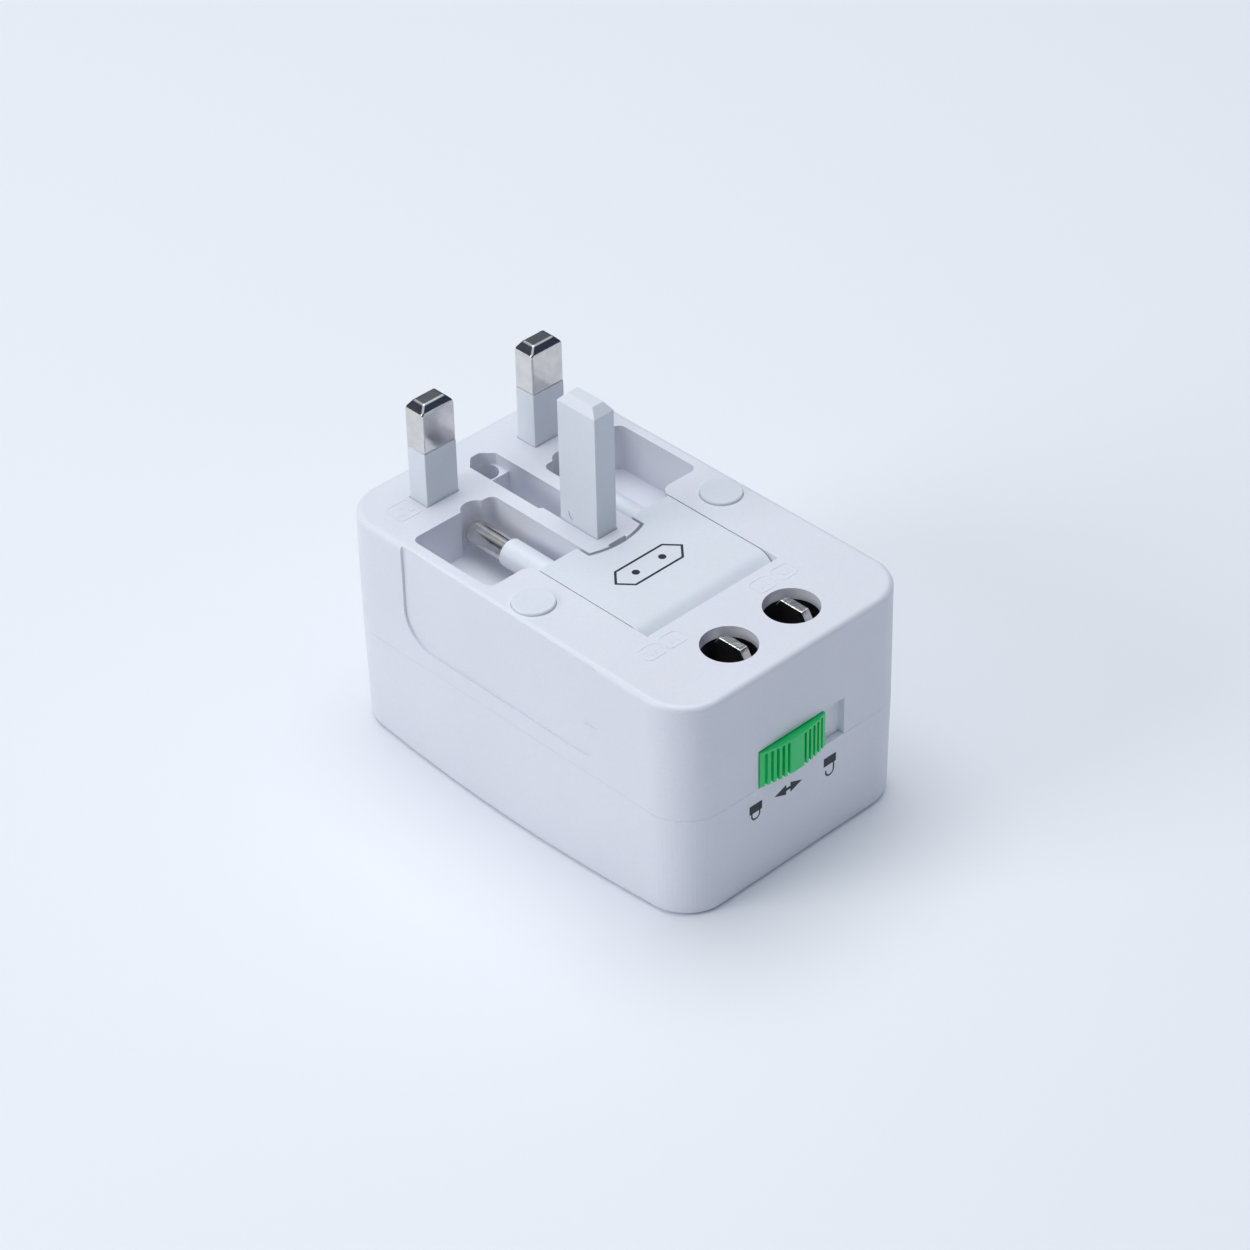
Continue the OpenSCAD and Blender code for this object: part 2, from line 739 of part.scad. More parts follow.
module lower_cover() {
    plateau_x0 = -in_x + plateau_gap;
    color(white) difference() {
        union() {
            translate([0, 0, cover_z]) linear_extrude(part_z - cover_z)
                round_rect(2 * (in_x - cover_gap), 2 * (in_y - cover_gap), corner_r - wall);
            translate([(plateau_x0 + plateau_x1) / 2, 0, cover_z]) linear_extrude(plateau_z - cover_z)
                round_rect(plateau_x1 - plateau_x0, 2 * (in_y - plateau_gap), corner_r - wall - plateau_gap);
        }
        // Hollow under the plateau, which stays solid round the rotors
        slab(plateau_x0 + cover_wall, blade_x - rotor_r - cover_wall, -in_y + plateau_gap + cover_wall,
             in_y - plateau_gap - cover_wall, cover_z - 1, post_top);
        for (s = [-1, 1]) translate([blade_x, blade_y(s), 0]) {
            translate([0, 0, rotor_z - rotor_gap]) cylinder(r = rotor_r + rotor_gap, h = far);
            cylinder(r = rotor_hub_r + rotor_gap, h = far);
        }
        for (p = lower_posts) translate([p[0], p[1], 0]) {
            cylinder(r = shank_r + hole_gap, h = far);
            translate([0, 0, plateau_z - head_h - 0.1]) cylinder(r = head_r + head_gap, h = far);
        }
        // Dip under the lock's foot
        slab(plateau_x1, far, window_y0 - 1, window_y1 + 1, part_z - dip, far);
    }
}

module lower_screws() {
    color(steel) for (p = lower_posts) translate([p[0], p[1], 0]) pan_screw(plateau_z - head_h - 0.1, 12);
}

module socket_contact(side) {
    color(brass) mirror([0, side > 0 ? 0 : 1, 0]) {
        for (s = [-1, 1])
            translate([socket_x + s * (leaf_x + leaf_t / 2) - leaf_t / 2, 0, 0])
                slab(0, leaf_t, leaf_y0, leaf_y1, leaf_z0, socket_top + eps);
        slab(socket_x - leaf_x - leaf_t, bus_x1, leaf_y0, leaf_y1, socket_top, blade_root_z);
        slab(rotor_link_x0, bus_x1, rotor_link_y0, leaf_y1, socket_top, blade_root_z);
    }
}

module us_blade(side) {
    color(nickel) translate([blade_x, blade_y(side), 0]) intersection() {
        slab(-blade_w / 2, blade_w / 2, -blade_t / 2, blade_t / 2, blade_root_z, blade_top);
        rotate([90, 0, 0]) translate([0, 0, -1]) linear_extrude(2) polygon([
            [-blade_w / 2, 0], [blade_w / 2, 0], [blade_w / 2, blade_top - blade_tip_h],
            [blade_w / 2 - blade_tip_w, blade_top], [-blade_w / 2 + blade_tip_w, blade_top],
            [-blade_w / 2, blade_top - blade_tip_h]
        ]);
    }
}

module blade_rotor(side) {
    color(white) translate([blade_x, blade_y(side), 0]) difference() {
        union() {
            translate([0, 0, rotor_z]) cylinder(r = rotor_r, h = plateau_z - rotor_z);
            translate([0, 0, blade_root_z + 0.6]) cylinder(r = rotor_hub_r, h = rotor_z - blade_root_z);
        }
        slab(-blade_w / 2, blade_w / 2, -blade_t / 2, blade_t / 2, 0, far);
    }
}

upper_shell();
upper_base();
screw_cap(-1);  // screw_cap_front
screw_cap(1);  // screw_cap_back
upper_screws();
uk_pin(-1);  // uk_pin_live
uk_pin(1);  // uk_pin_neutral
uk_sleeve(-1);  // uk_sleeve_live
uk_sleeve(1);  // uk_sleeve_neutral
busbar(-1);  // busbar_live
busbar(1);  // busbar_neutral
blade_contact(-1);  // blade_contact_live
blade_contact(1);  // blade_contact_neutral
contact_carrier();
earth_axle();
flap_axle();
flap_contact(-1);  // flap_contact_live
flap_contact(1);  // flap_contact_neutral
eu_flap();
eu_flap_cover();
eu_pin(-1);  // eu_pin_live
eu_pin(1);  // eu_pin_neutral
eu_sleeve(-1);  // eu_sleeve_live
eu_sleeve(1);  // eu_sleeve_neutral
eu_conductor(-1);  // eu_conductor_live
eu_conductor(1);  // eu_conductor_neutral
earth_pin();
lock_slider();
lower_shell();
lower_cover();
lower_screws();
socket_contact(-1);  // socket_contact_live
socket_contact(1);  // socket_contact_neutral
us_blade(-1);  // us_blade_live
us_blade(1);  // us_blade_neutral
blade_rotor(-1);  // blade_rotor_live
blade_rotor(1);  // blade_rotor_neutral
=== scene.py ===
"""Universal travel adapter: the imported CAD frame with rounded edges, marks and finishes."""
import json
import math

import bmesh
import bpy
from mathutils import Matrix, Vector


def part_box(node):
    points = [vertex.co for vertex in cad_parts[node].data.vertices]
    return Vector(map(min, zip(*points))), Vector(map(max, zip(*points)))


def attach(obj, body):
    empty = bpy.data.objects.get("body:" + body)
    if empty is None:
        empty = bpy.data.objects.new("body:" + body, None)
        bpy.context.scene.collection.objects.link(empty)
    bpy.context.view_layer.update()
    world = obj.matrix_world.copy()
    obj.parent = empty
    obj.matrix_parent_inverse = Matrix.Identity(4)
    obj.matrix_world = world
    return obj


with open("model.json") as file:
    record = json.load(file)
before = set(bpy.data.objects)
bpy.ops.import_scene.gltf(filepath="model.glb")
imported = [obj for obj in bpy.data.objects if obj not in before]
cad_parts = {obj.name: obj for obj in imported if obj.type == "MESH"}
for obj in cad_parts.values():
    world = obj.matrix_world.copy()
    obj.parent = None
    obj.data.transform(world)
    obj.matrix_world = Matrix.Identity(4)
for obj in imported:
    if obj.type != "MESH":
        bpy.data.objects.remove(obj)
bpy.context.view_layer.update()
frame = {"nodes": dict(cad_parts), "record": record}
nodes = frame["nodes"]

MM = 0.001

# Places that the marks, the blends and the camera use, read from the frame
shell_lo, shell_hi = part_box("upper_shell")
flap_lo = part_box("eu_flap")[0]
earth_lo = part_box("earth_pin")[0]
lower_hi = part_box("lower_shell")[1]
sleeve_lo, sleeve_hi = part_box("eu_sleeve_live")
TOP = shell_hi[2]
PART = shell_lo[2]


# ---------- Materials ----------

# Noise scales, from broad to fine
CLOUDS = 45
FLOW_MARKS = 70
GLOSS = 160
HANDLING = 420
DRAWING_LINES = 900
INK_GLOSS = 900
INK_TINT = 1500
INK_GRAIN = 2500
SPECKS = 2600
SPARK_GRAIN = 3400

# How far from an edge the painted highlight reaches on the plastic and on the plating, in metres
PLASTIC_HIGHLIGHT_REACH = 0.00035
METAL_HIGHLIGHT_REACH = 0.0003


def new_material(name):
    mat = bpy.data.materials.new(name)
    mat.use_nodes = True
    tree = mat.node_tree
    tree.nodes.clear()
    out = tree.nodes.new("ShaderNodeOutputMaterial")
    bsdf = tree.nodes.new("ShaderNodeBsdfPrincipled")
    tree.links.new(bsdf.outputs["BSDF"], out.inputs["Surface"])
    return mat, tree, bsdf


def noise(tree, coords, scale, detail=3.0, rough=0.5):
    node = tree.nodes.new("ShaderNodeTexNoise")
    node.inputs["Scale"].default_value = scale
    node.inputs["Detail"].default_value = detail
    node.inputs["Roughness"].default_value = rough
    tree.links.new(coords, node.inputs["Vector"])
    return node.outputs["Fac"]


def ramp(tree, fac, low, high, start=0.3, end=0.7):
    node = tree.nodes.new("ShaderNodeValToRGB")
    node.color_ramp.elements[0].position = start
    node.color_ramp.elements[0].color = (*low, 1)
    node.color_ramp.elements[1].position = end
    node.color_ramp.elements[1].color = (*high, 1)
    tree.links.new(fac, node.inputs["Fac"])
    return node.outputs["Color"]


def spread(tree, fac, low, high):
    node = tree.nodes.new("ShaderNodeMapRange")
    node.inputs["To Min"].default_value = low
    node.inputs["To Max"].default_value = high
    tree.links.new(fac, node.inputs["Value"])
    return node.outputs["Result"]


def bump(tree, bsdf, layers):
    """Chains bumps: each layer is (height, strength, distance in metres)."""
    last = None
    for height, strength, distance in layers:
        node = tree.nodes.new("ShaderNodeBump")
        node.inputs["Strength"].default_value = strength
        node.inputs["Distance"].default_value = distance
        tree.links.new(height, node.inputs["Height"])
        if last:
            tree.links.new(last, node.inputs["Normal"])
        last = node.outputs["Normal"]
    tree.links.new(last, bsdf.inputs["Normal"])


def object_coords(tree, scale=(1, 1, 1)):
    coords = tree.nodes.new("ShaderNodeTexCoord").outputs["Object"]
    if scale == (1, 1, 1):
        return coords
    node = tree.nodes.new("ShaderNodeMapping")
    node.inputs["Scale"].default_value = scale
    tree.links.new(coords, node.inputs["Vector"])
    return node.outputs["Vector"]


def edge_mask(tree, radius):
    """1 on edges rounder than radius, 0 on flats."""
    rounded = tree.nodes.new("ShaderNodeBevel")
    rounded.samples = 4
    rounded.inputs["Radius"].default_value = radius
    geometry = tree.nodes.new("ShaderNodeNewGeometry")
    dot = tree.nodes.new("ShaderNodeVectorMath")
    dot.operation = "DOT_PRODUCT"
    tree.links.new(rounded.outputs["Normal"], dot.inputs[0])
    tree.links.new(geometry.outputs["Normal"], dot.inputs[1])
    span = tree.nodes.new("ShaderNodeMapRange")
    span.inputs["From Min"].default_value = 1.0
    span.inputs["From Max"].default_value = 0.8
    tree.links.new(dot.outputs["Value"], span.inputs["Value"])
    return span.outputs["Result"]


def blend_colour(tree, kind, fac, a, b):
    """Mixes colours a and b, each a socket or a plain colour."""
    mix = tree.nodes.new("ShaderNodeMix")
    mix.data_type = "RGBA"
    mix.blend_type = kind
    for socket, value in (("Factor", fac), ("A", a), ("B", b)):
        if isinstance(value, (int, float)):
            mix.inputs[socket].default_value = value
        elif isinstance(value, (tuple, Vector)):
            mix.inputs[socket].default_value = (*value, 1)
        else:
            tree.links.new(value, mix.inputs[socket])
    return mix.outputs["Result"]


def scaled(tree, fac, factor):
    node = tree.nodes.new("ShaderNodeMath")
    node.operation = "MULTIPLY"
    node.inputs[1].default_value = factor
    tree.links.new(fac, node.inputs[0])
    return node.outputs[0]


def moulded_plastic(name, colour, rough, coat=0.0, subsurface=0.0, grain=0.35, edge_highlight_amount=0.5):
    """Moulded plastic: fine spark grain, faint flow marks, uneven gloss and a painted highlight on the
    rounded edges.
    """
    mat, tree, bsdf = new_material(name)
    at = object_coords(tree)
    shade = Vector(colour)
    base = ramp(tree, noise(tree, at, CLOUDS, 2), shade * 0.97, shade)
    speck = ramp(tree, noise(tree, at, SPECKS, 2), (0.97, 0.97, 0.97), (1, 1, 1))
    base = blend_colour(tree, "MULTIPLY", 1.0, base, speck)
    # Painted highlight: rounded edges are mixed towards a lighter copy of the colour
    edge_highlight = scaled(tree, edge_mask(tree, PLASTIC_HIGHLIGHT_REACH), edge_highlight_amount)
    light = shade * 0.75 + Vector((0.25, 0.25, 0.25))
    highlighted_base = blend_colour(tree, "MIX", scaled(tree, edge_highlight, 0.45), base, light)
    tree.links.new(highlighted_base, bsdf.inputs["Base Color"])
    gloss = spread(tree, noise(tree, at, GLOSS, 4), rough - 0.05, rough + 0.06)
    tree.links.new(gloss, bsdf.inputs["Roughness"])
    bsdf.inputs["IOR"].default_value = 1.52
    bsdf.inputs["Coat Weight"].default_value = coat
    bsdf.inputs["Subsurface Weight"].default_value = subsurface
    bsdf.inputs["Subsurface Scale"].default_value = 0.0012
    bump(tree, bsdf, [
        (noise(tree, at, SPARK_GRAIN, 3, 0.6), grain, 0.00002),
        (noise(tree, at, FLOW_MARKS, 2), 0.12, 0.00012),
    ])
    return mat


def plated_metal(name, dark, light, rough, stretch, edge_highlight=(0.9, 0.87, 0.83), relief=0.06):
    """Bright plating with fine drawing lines along the piece, soft handling marks and a painted highlight
    on the edges.
    """
    mat, tree, bsdf = new_material(name)
    lines = noise(tree, object_coords(tree, stretch), DRAWING_LINES, 4, 0.6)
    at = object_coords(tree)
    handled = noise(tree, at, HANDLING, 5, 0.65)
    base = ramp(tree, handled, dark, light, 0.25, 0.7)
    # Painted highlight: edges are mixed towards the lighter edge colour
    edge = scaled(tree, edge_mask(tree, METAL_HIGHLIGHT_REACH), 0.5)
    tree.links.new(blend_colour(tree, "MIX", edge, base, edge_highlight), bsdf.inputs["Base Color"])
    tree.links.new(spread(tree, handled, rough, rough + 0.1), bsdf.inputs["Roughness"])
    bsdf.inputs["Metallic"].default_value = 1.0
    bump(tree, bsdf, [(lines, 0.1, 0.00001), (handled, relief, 0.00004)])
    return mat


def printed_ink(name, colour):
    """Thin ink with a slightly uneven tint and gloss."""
    mat, tree, bsdf = new_material(name)
    at = object_coords(tree)
    shade = Vector(colour)
    tree.links.new(ramp(tree, noise(tree, at, INK_TINT, 3), shade, shade * 1.6), bsdf.inputs["Base Color"])
    tree.links.new(spread(tree, noise(tree, at, INK_GLOSS, 3), 0.45, 0.6), bsdf.inputs["Roughness"])
    bump(tree, bsdf, [(noise(tree, at, INK_GRAIN, 3), 0.2, 0.00001)])
    return mat


WHITE = moulded_plastic("housing_plastic", (0.83, 0.845, 0.925), 0.4, subsurface=0.05)
COOL = moulded_plastic("flap_plastic", (0.81, 0.85, 0.92), 0.36, subsurface=0.05)
GREEN = moulded_plastic("lock_plastic", (0.0, 0.7, 0.17), 0.34, coat=0.1, grain=0.2, edge_highlight_amount=0.2)
BLACK = moulded_plastic("inner_plastic", (0.024, 0.025, 0.034), 0.45, edge_highlight_amount=0.1)
NICKEL = plated_metal("plated_metal", (0.6, 0.58, 0.56), (0.76, 0.745, 0.73), 0.07, (1, 1, 0.05))
NICKEL_X = plated_metal("plated_round_pin", (0.58, 0.55, 0.52), (0.78, 0.76, 0.74), 0.06, (0.05, 1, 1))
BLADE = plated_metal("plated_blade", (0.6, 0.57, 0.54), (0.98, 0.97, 0.96), 0.14, (1, 1, 0.08), relief=3.0)
# For brass and steel, the edge colour given last is a painted highlight on the edges
BRASS = plated_metal(
    "contact_brass", (0.5, 0.33, 0.1), (0.7, 0.5, 0.2), 0.25, (0.05, 1, 1), edge_highlight=(0.85, 0.65, 0.35))
STEEL = plated_metal(
    "fastener_steel", (0.3, 0.3, 0.31), (0.5, 0.5, 0.52), 0.3, (1, 1, 1), edge_highlight=(0.65, 0.65, 0.66))
INK = printed_ink("printed_mark", (0.012, 0.014, 0.024))
# Dark grey ink used as painted shade for a moulded crease
CREASE_SHADE_INK = printed_ink("painted_crease_shade", (0.22, 0.24, 0.28))

FINISH = {
    "housing_plastic": WHITE, "flap_plastic": COOL, "lock_plastic": GREEN, "inner_plastic": BLACK,
    "plated_metal": NICKEL, "contact_brass": BRASS, "fastener_steel": STEEL,
}
SLOT_OF = {s["node"]: s["material_slot"] for s in frame["record"]["subparts"]}


def paint(obj, mat):
    obj.data.materials.clear()
    obj.data.materials.append(mat)


# ---------- CAD nodes: edges and finish ----------

# Width of the rounding of each node's edges, in millimetres
EDGE = {
    "upper_shell": 0.2, "lower_shell": 0.1, "eu_flap": 0.3, "lock_slider": 0.12, "earth_pin": 0.22,
    "uk_pin_live": 0.28, "uk_pin_neutral": 0.28, "uk_sleeve_live": 0.16, "uk_sleeve_neutral": 0.16,
    "lower_cover": 0.2, "upper_base": 0.15, "us_blade_live": 0.14, "us_blade_neutral": 0.14,
}
SMALL_EDGE = 0.08
WELD_REACH = 0.000004
FLAT_ANGLE = math.radians(0.6)
SHARP_ANGLE = math.radians(32)


def soften(obj, width):
    """Rounds the sharp edges of a CAD node with modifiers, and leaves its own mesh alone."""
    obj.data.normals_split_custom_set([(0, 0, 0)] * len(obj.data.loops))
    weld = obj.modifiers.new("weld", "WELD")
    weld.merge_threshold = WELD_REACH
    flat = obj.modifiers.new("flat", "DECIMATE")
    flat.decimate_type = "DISSOLVE"
    flat.angle_limit = FLAT_ANGLE
    edge = obj.modifiers.new("edge", "BEVEL")
    edge.width = width * MM
    edge.segments = 3
    edge.limit_method = "ANGLE"
    edge.angle_limit = SHARP_ANGLE
    edge.harden_normals = True
    edge.use_clamp_overlap = True
    normals = obj.modifiers.new("normals", "WEIGHTED_NORMAL")
    normals.keep_sharp = True


for name, obj in nodes.items():
    paint(obj, FINISH[SLOT_OF[name]])
    soften(obj, EDGE.get(name, SMALL_EDGE))
for side in ("live", "neutral"):
    paint(nodes["eu_pin_" + side], NICKEL_X)
    paint(nodes["us_blade_" + side], BLADE)
    paint(nodes["uk_sleeve_" + side], COOL)
    paint(nodes["eu_sleeve_" + side], COOL)


# ---------- Printed and raised marks ----------

class Mark:
    """Flat shapes laid on a face: a point (a, b) lies at origin + a * right + b * up, in millimetres."""

    def __init__(self, name, origin, right, up, height, sink=0.05):
        self.name = name
        self.origin = Vector(origin)
        self.right = Vector(right).normalized()
        self.up = Vector(up).normalized()
        self.out = self.right.cross(self.up)
        self.height = height * MM
        self.sink = sink * MM
        self.mesh = bmesh.new()

    def at(self, a, b, h):
        return self.origin + (self.right * a + self.up * b) * MM + self.out * h

    def poly(self, points):
        """Adds a flat convex shape with upright sides."""
        low = [self.mesh.verts.new(self.at(a, b, -self.sink)) for a, b in points]
        high = [self.mesh.verts.new(self.at(a, b, self.height)) for a, b in points]
        self.mesh.faces.new(high)
        self.mesh.faces.new(low[::-1])
        for i in range(len(points)):
            j = (i + 1) % len(points)
            self.mesh.faces.new((low[i], low[j], high[j], high[i]))

    def bar(self, a0, b0, a1, b1, wide):
        run = Vector((a1 - a0, b1 - b0)).normalized() * wide / 2
        side = Vector((-run.y, run.x))
        start, stop = Vector((a0, b0)), Vector((a1, b1))
        self.poly([tuple(p) for p in (start - side, stop - side, stop + side, start + side)])

    def disc(self, a, b, r, steps=24):
        turn = [2 * math.pi * i / steps for i in range(steps)]
        self.poly([(a + r * math.cos(t), b + r * math.sin(t)) for t in turn])

    def line(self, points, wide, closed=False):
        """Adds a stroke with mitred joints along the points."""
        pts = [Vector(p) for p in points]
        count = len(pts)
        sides = []
        for i, p in enumerate(pts):
            ahead = pts[(i + 1) % count] - p if closed or i < count - 1 else p - pts[i - 1]
            behind = p - pts[i - 1] if closed or i > 0 else ahead
            n0 = Vector((-behind.y, behind.x)).normalized()
            n1 = Vector((-ahead.y, ahead.x)).normalized()
            mid = (n0 + n1).normalized()
            sides.append(mid * (wide / 2) / max(mid.dot(n1), 0.4))
        for i in range(count if closed else count - 1):
            j = (i + 1) % count
            corners = (pts[i] - sides[i], pts[j] - sides[j], pts[j] + sides[j], pts[i] + sides[i])
            self.poly([tuple(c) for c in corners])

    def arc(self, a, b, r, start, stop, wide, steps=14):
        turns = [math.radians(start + (stop - start) * i / steps) for i in range(steps + 1)]
        self.line([(a + r * math.cos(t), b + r * math.sin(t)) for t in turns], wide)

    def frame(self, a, b, w, h, r, wide, steps=6):
        """Adds the outline of a rounded rectangle."""
        points = []
        for ca, cb, first in ((1, 1, 0), (-1, 1, 90), (-1, -1, 180), (1, -1, 270)):
            for i in range(steps + 1):
                t = math.radians(first + 90 * i / steps)
                mid_a, mid_b = a + ca * (w / 2 - r), b + cb * (h / 2 - r)
                points.append((mid_a + r * math.cos(t), mid_b + r * math.sin(t)))
        self.line(points, wide, closed=True)

    def done(self, mat, body):
        bmesh.ops.recalc_face_normals(self.mesh, faces=self.mesh.faces)
        data = bpy.data.meshes.new(self.name)
        self.mesh.to_mesh(data)
        self.mesh.free()
        return add_piece(self.name, data, mat, body)


def add_piece(name, data, mat, body):
    obj = bpy.data.objects.new(name, data)
    bpy.context.scene.collection.objects.link(obj)
    paint(obj, mat)
    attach(obj, body)
    return obj


def padlock(mark, a, lift):
    """Small padlock standing at a; with lift its shackle is raised and one leg hangs free."""
    case, foot, brow = 1.3, -1.1, 0.5
    reach, wide, neck = 0.82, 0.3, 0.95
    mark.poly([(a - case, foot), (a + case, foot), (a + case, brow), (a - case, brow)])
    mark.arc(a, neck + lift, reach, 0, 180, wide)
    mark.line([(a - reach, brow - 0.1), (a - reach, neck + lift)], wide)
    free_end = neck + lift * 0.55 if lift else brow - 0.1
    mark.line([(a + reach, free_end), (a + reach, neck + lift)], wide)


def double_arrow(mark, a, reach):
    """Two solid arrow heads joined by a short bar."""
    neck, half, bar = 0.45, 0.95, 0.6
    for s in (-1, 1):
        head = [(a + s * neck, -half), (a + s * reach, 0), (a + s * neck, half)]
        mark.poly(head if s > 0 else head[::-1])
    mark.bar(a - bar, 0, a + bar, 0, 0.55)


def round_plug(mark, a, b, w, h, wide, dot):
    """Flat six-sided plug face with two round pins."""
    cut = h * 0.45
    mark.line([
        (a - w / 2, b), (a - w / 2 + cut, b + h / 2), (a + w / 2 - cut, b + h / 2),
        (a + w / 2, b), (a + w / 2 - cut, b - h / 2), (a - w / 2 + cut, b - h / 2),
    ], wide, closed=True)
    for s in (-1, 1):
        mark.disc(a + s * w * 0.2, b, dot)


def british_plug(mark, a, b, size, wide):
    """Square plug face with one upright and two level pins."""
    mark.frame(a, b, size, size * 0.92, size * 0.16, wide)
    mark.bar(a, b + size * 0.1, a, b + size * 0.32, size * 0.13)
    low = b - size * 0.17
    for s in (-1, 1):
        mark.bar(a + s * size * 0.34, low, a + s * size * 0.12, low, size * 0.12)


def blade_plug(mark, a, b, size, wide, lean):
    """Round-cornered plug face with two flat blades, upright or leaning."""
    mark.frame(a, b, size * 1.25, size, size * 0.3, wide)
    apart, half = size * 0.2, size * 0.24
    for s in (-1, 1):
        mark.bar(a + s * (apart - lean), b - half, a + s * (apart + lean), b + half, size * 0.1)


# The lower module's end wall leans out by this much from the rounded foot to the parting line
LEAN = 0.2 * MM
LEAN_FOOT = 1.6 * MM
LOCK_PRINT_Z = 14.75 * MM
INK_HEIGHT = 0.015
RAISED_HEIGHT = 0.05
BLADE_PLUG_B = -22.4
UPRIGHT, SLANTED = 0, 0.3


def lock_print():
    """Closed padlock, double arrow and open padlock, drawn for someone who holds the pins downwards."""
    end_x = lower_hi[0] - LEAN * (PART - LOCK_PRINT_Z) / (PART - LEAN_FOOT)
    mark = Mark("lock_print", (end_x, 0, LOCK_PRINT_Z), (0, -1, 0), (-0.012, 0, -1), INK_HEIGHT)
    padlock(mark, 9.4, 0)
    double_arrow(mark, 2.6, 2.9)
    padlock(mark, -6.2, 0.75)
    mark.done(INK, "lower_module")


def flap_print():
    """Plug outline printed on the flap."""
    mark = Mark("flap_print", (7.0 * MM, -1.0 * MM, TOP), (0, 1, 0), (-1, 0, 0), INK_HEIGHT)
    round_plug(mark, 0, 0, 13.6, 4.4, 0.38, 0.62)
    mark.done(INK, "round_pin_flap")


def raised_marks():
    """Faint raised plug outlines beside the British pins and the holes of the blades."""
    mark = Mark("raised_marks", (0, 0, TOP), (0, 1, 0), (-1, 0, 0), RAISED_HEIGHT)
    british_plug(mark, -17.4, 29.2, 4.4, 0.24)
    for a, lean in ((-11.4, UPRIGHT), (-15.6, SLANTED), (7.2, UPRIGHT), (11.6, SLANTED)):
        blade_plug(mark, a, BLADE_PLUG_B, 3.0, 0.22, lean)
    mark.done(WHITE, "upper_module")


def earth_pin_crease_shade():
    """Small curved mould mark low on the earth pin, drawn in dark grey ink as painted shade along its
    crease.
    """
    mark = Mark("earth_pin_crease_shade", (-8.5 * MM, earth_lo[1], TOP), (1, 0, 0), (0, 0, 1), 0.03)
    mark.arc(1.0, 2.2, 1.6, 180, 240, 0.12)
    mark.done(CREASE_SHADE_INK, "earth_prong")


# ---------- Blend between the round pins' sleeves and the flap ----------

BLEND_RUN = 2.4 * MM
BLEND_OVERLAP = 0.1 * MM
BLEND_BELOW_TOP = 0.03 * MM
BLEND_SKIN = 0.02 * MM
BLEND_FLARE = 0.2 * MM
BLEND_TUCK = 0.06 * MM


def sleeve_blend(name, side):
    """Lofted piece that carries the flap's face down onto the round sleeve and tucks into it at its end."""
    steps, ring = 14, 40
    mid_y = (sleeve_lo[1] + sleeve_hi[1]) / 2 * (1 if side < 0 else -1)
    mid_z = (sleeve_lo[2] + sleeve_hi[2]) / 2
    r = (sleeve_hi[2] - sleeve_lo[2]) / 2
    x0 = flap_lo[0] + BLEND_OVERLAP
    rise = TOP - BLEND_BELOW_TOP - mid_z - r
    mesh = bmesh.new()
    rows = []
    for i in range(steps + 1):
        f = i / steps
        fade = (1 - f) ** 2.5
        row = []
        for k in range(ring):
            t = 2 * math.pi * k / ring
            grow = r + BLEND_SKIN + BLEND_FLARE * fade - BLEND_TUCK * f ** 4
            y = grow * math.cos(t)
            z = grow * math.sin(t)
            if z > 0:
                square = (abs(math.cos(t)) ** 0.5 * (1 if y > 0 else -1), abs(math.sin(t)) ** 0.5)
                y = y * (1 - fade) + square[0] * grow * fade
                z = z * (1 - fade) + square[1] * (r + rise) * fade
            row.append(mesh.verts.new((x0 - BLEND_RUN * f, mid_y + y, mid_z + z)))
        rows.append(row)
    for a, b in zip(rows, rows[1:]):
        for k in range(ring):
            mesh.faces.new((a[k], a[(k + 1) % ring], b[(k + 1) % ring], b[k]))
    mesh.faces.new(rows[0])
    mesh.faces.new(rows[-1][::-1])
    bmesh.ops.recalc_face_normals(mesh, faces=mesh.faces)
    data = bpy.data.meshes.new(name)
    mesh.to_mesh(data)
    mesh.free()
    data.shade_smooth()
    obj = add_piece(name, data, COOL, "round_pin_flap")
    obj.modifiers.new("normals", "WEIGHTED_NORMAL")


lock_print()
flap_print()
raised_marks()
earth_pin_crease_shade()
sleeve_blend("sleeve_blend_live", -1)
sleeve_blend("sleeve_blend_neutral", 1)


# ---------- Camera, floor and lights ----------

def camera():
    """Camera at the fitted viewing angle, aimed near the centre of the top face."""
    az, el, roll = math.radians(46.79), math.radians(37.155), math.radians(-1.342)
    distance = 0.59356
    lens = 114.91
    sensor = 36.0
    shift_right, shift_up = -0.000595, 0.012339
    back = Vector((math.sin(az) * math.cos(el), -math.cos(az) * math.cos(el), math.sin(el)))
    right = (-back).cross(Vector((0, 0, 1))).normalized()
    up = right.cross(-back)
    right, up = right * math.cos(roll) + up * math.sin(roll), up * math.cos(roll) - right * math.sin(roll)
    cam = bpy.data.cameras.new("camera")
    cam.lens = lens
    cam.sensor_width = sensor
    cam.clip_start = 0.01
    obj = bpy.data.objects.new("camera", cam)
    bpy.context.scene.collection.objects.link(obj)
    place = Matrix((right, up, back)).transposed().to_4x4()
    place.translation = Vector((0, 0, TOP)) + back * distance - right * shift_right - up * shift_up
    obj.matrix_world = place
    bpy.context.scene.camera = obj


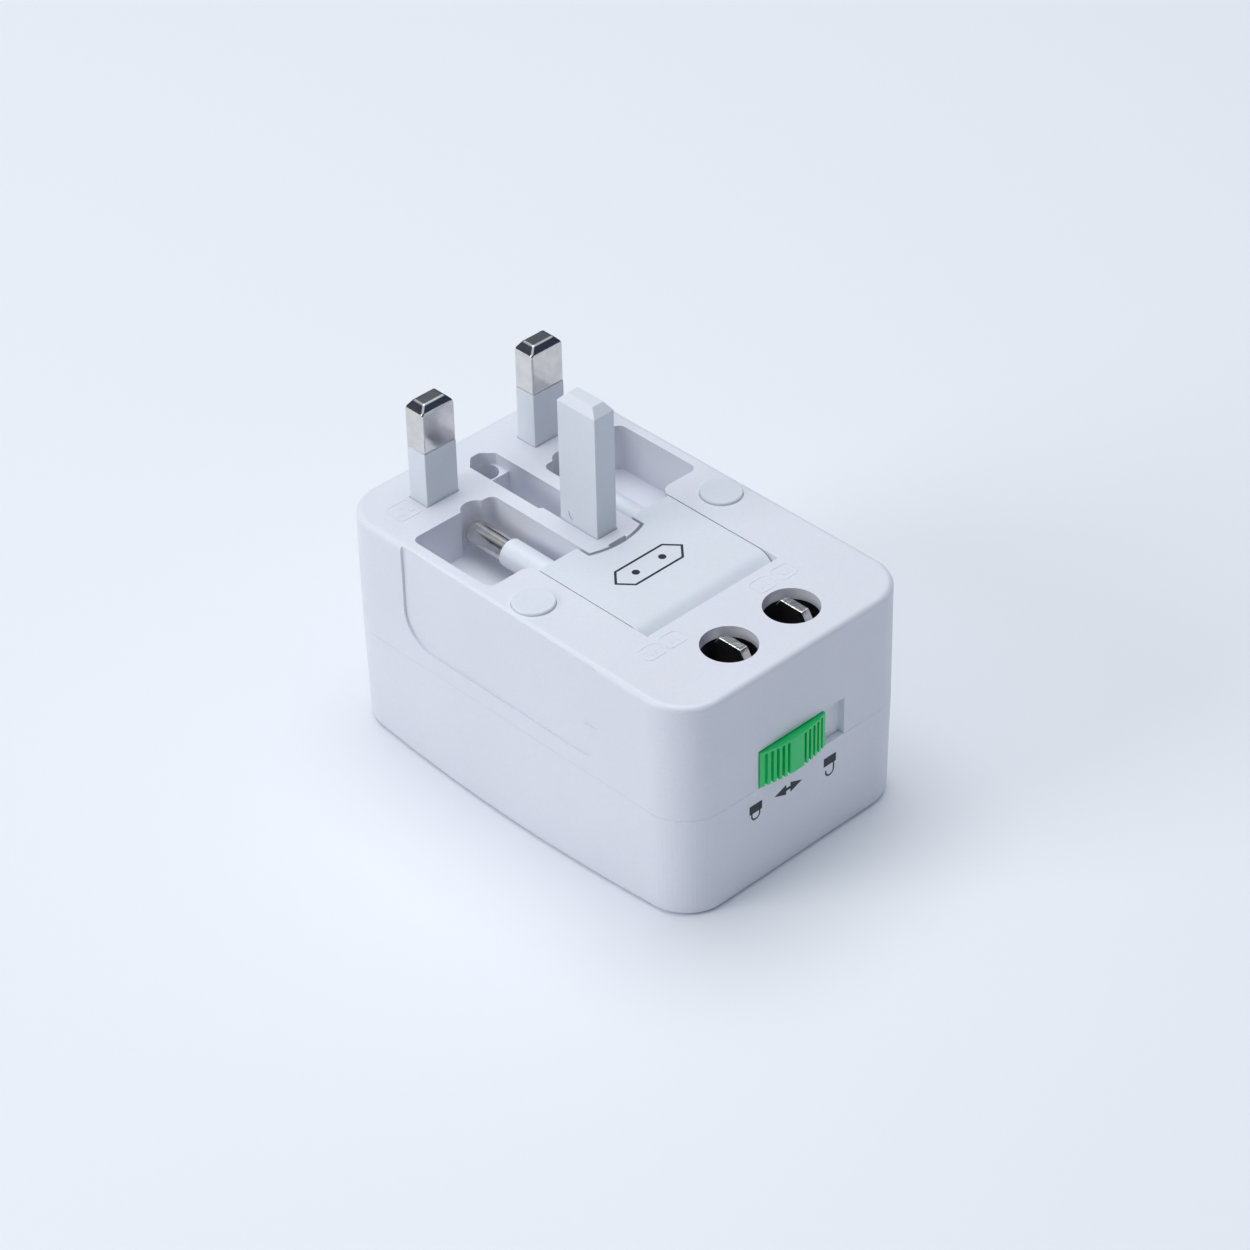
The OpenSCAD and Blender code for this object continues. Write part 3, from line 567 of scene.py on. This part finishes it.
def floor():
    """Plain pale floor under the socket face."""
    half = 3.0
    corners = [(-half, -half, 0), (half, -half, 0), (half, half, 0), (-half, half, 0)]
    mesh = bpy.data.meshes.new("floor")
    mesh.from_pydata(corners, [], [(0, 1, 2, 3)])
    obj = bpy.data.objects.new("floor", mesh)
    bpy.context.scene.collection.objects.link(obj)
    mat, _, bsdf = new_material("floor")
    bsdf.inputs["Base Color"].default_value = (0.91, 0.935, 0.985, 1)
    bsdf.inputs["Roughness"].default_value = 0.7
    paint(obj, mat)


LIGHT_AIM = Vector((0, 0, 0.02))


def area_light(name, place, size, watts, colour=(1, 1, 1)):
    """Round soft light at place, turned to the object."""
    light = bpy.data.lights.new(name, "AREA")
    light.shape = "DISK"
    light.size = size
    light.energy = watts
    light.color = colour
    obj = bpy.data.objects.new(name, light)
    bpy.context.scene.collection.objects.link(obj)
    obj.location = place
    obj.rotation_euler = (LIGHT_AIM - Vector(place)).to_track_quat("-Z", "Y").to_euler()


def sky():
    """Studio surround: bright overhead, dark near the horizon for metal to mirror, pale below it."""
    world = bpy.data.worlds.new("studio")
    world.use_nodes = True
    tree = world.node_tree
    back = tree.nodes["Background"]
    dark = (0.045, 0.06, 0.095, 1)
    coords = tree.nodes.new("ShaderNodeTexCoord")
    split = tree.nodes.new("ShaderNodeSeparateXYZ")
    tree.links.new(coords.outputs["Generated"], split.inputs["Vector"])
    fade = tree.nodes.new("ShaderNodeValToRGB")
    steps = fade.color_ramp.elements
    steps[0].position = 0
    steps[0].color = (0.6, 0.63, 0.68, 1)
    steps[1].position = 0.85
    steps[1].color = (0.88, 0.94, 1, 1)
    for at in (0.02, 0.5):
        steps.new(at).color = dark
    tree.links.new(split.outputs["Z"], fade.inputs["Fac"])
    tree.links.new(fade.outputs["Color"], back.inputs["Color"])
    back.inputs["Strength"].default_value = 0.8
    bpy.context.scene.world = world


def lights():
    area_light("key", (-0.4, -1.0, 0.48), 0.6, 4.6, (1, 0.985, 0.96))
    area_light("top", (-0.22, 0.1, 1.1), 1.0, 5.4)
    bpy.context.scene.view_settings.view_transform = "Standard"


camera()
floor()
sky()
lights()
